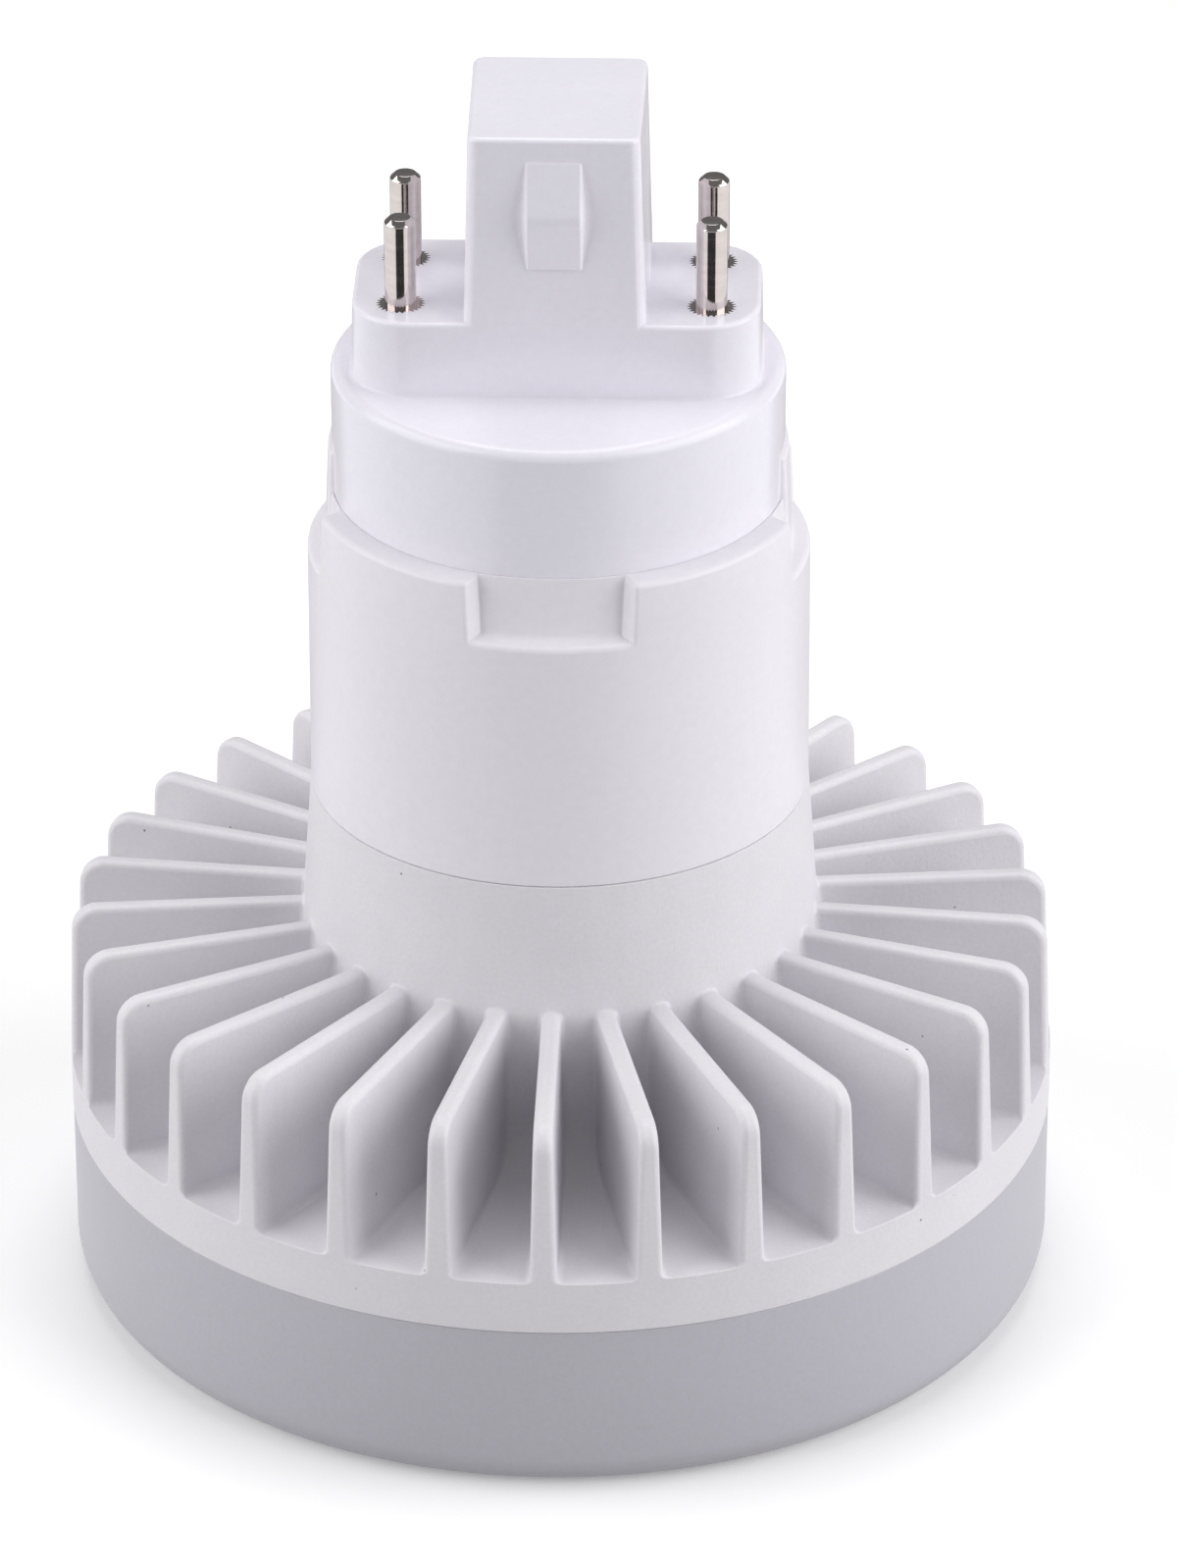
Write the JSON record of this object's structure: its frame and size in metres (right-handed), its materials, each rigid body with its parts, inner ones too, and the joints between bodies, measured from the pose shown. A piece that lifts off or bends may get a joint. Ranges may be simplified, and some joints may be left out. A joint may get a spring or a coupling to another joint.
{
  "type": "plug-in led lamp",
  "caption": "Plug-in LED lamp with a frosted disc lens, a finned die-cast heat sink, a driver collar and a keyed cap with contact pins.",
  "frame": {"origin": "centre of the lens's flat outer face, on the lamp's axis", "axes": "+Z along the lamp's axis from the lens to the keyed post; +X along the long side of the cap's plinth"},
  "size_m": [0.075, 0.075, 0.0953],
  "materials": {
    "lens_frosted": "frosted, light-diffusing",
    "casting_white": "white powder coat with a fine grain",
    "collar_white": "warm white, satin moulding",
    "cap_white": "cool white, glossy moulding",
    "nickel": "bright nickel plate",
    "spring_brass": "bare rolled strip",
    "board_white": "white solder mask on aluminium",
    "led_yellow": "phosphor resin",
    "board_green": "green solder mask",
    "sleeve_black": "shrunk sleeve",
    "ferrite": "ground ferrite",
    "tape_yellow": "polyester tape",
    "case_ochre": "moulded case",
    "case_brown": "moulded case",
    "package_black": "moulded epoxy"
  },
  "bodies": {
    "root": {"diffuser": "lens_frosted", "heat_sink": "casting_white", "driver_housing": "collar_white", "base_cap": "cap_white", "contact_pin_1": "nickel", "contact_pin_2": "nickel", "contact_pin_3": "nickel", "contact_pin_4": "nickel", "contact_strip_1": "spring_brass", "contact_strip_2": "spring_brass", "contact_strip_3": "spring_brass", "contact_strip_4": "spring_brass", "led_board": "board_white", "led_chips": "led_yellow", "feed_post_positive": "spring_brass", "feed_post_negative": "spring_brass", "driver_board": "board_green", "bulk_capacitor": "sleeve_black", "transformer_core": "ferrite", "transformer_bobbin": "package_black", "transformer_winding": "tape_yellow", "choke": "ferrite", "film_capacitor": "case_ochre", "fuse": "case_brown", "bridge_rectifier": "package_black", "controller_chip": "package_black", "power_transistor": "package_black", "output_diode": "package_black"}
  },
  "joints": []
}
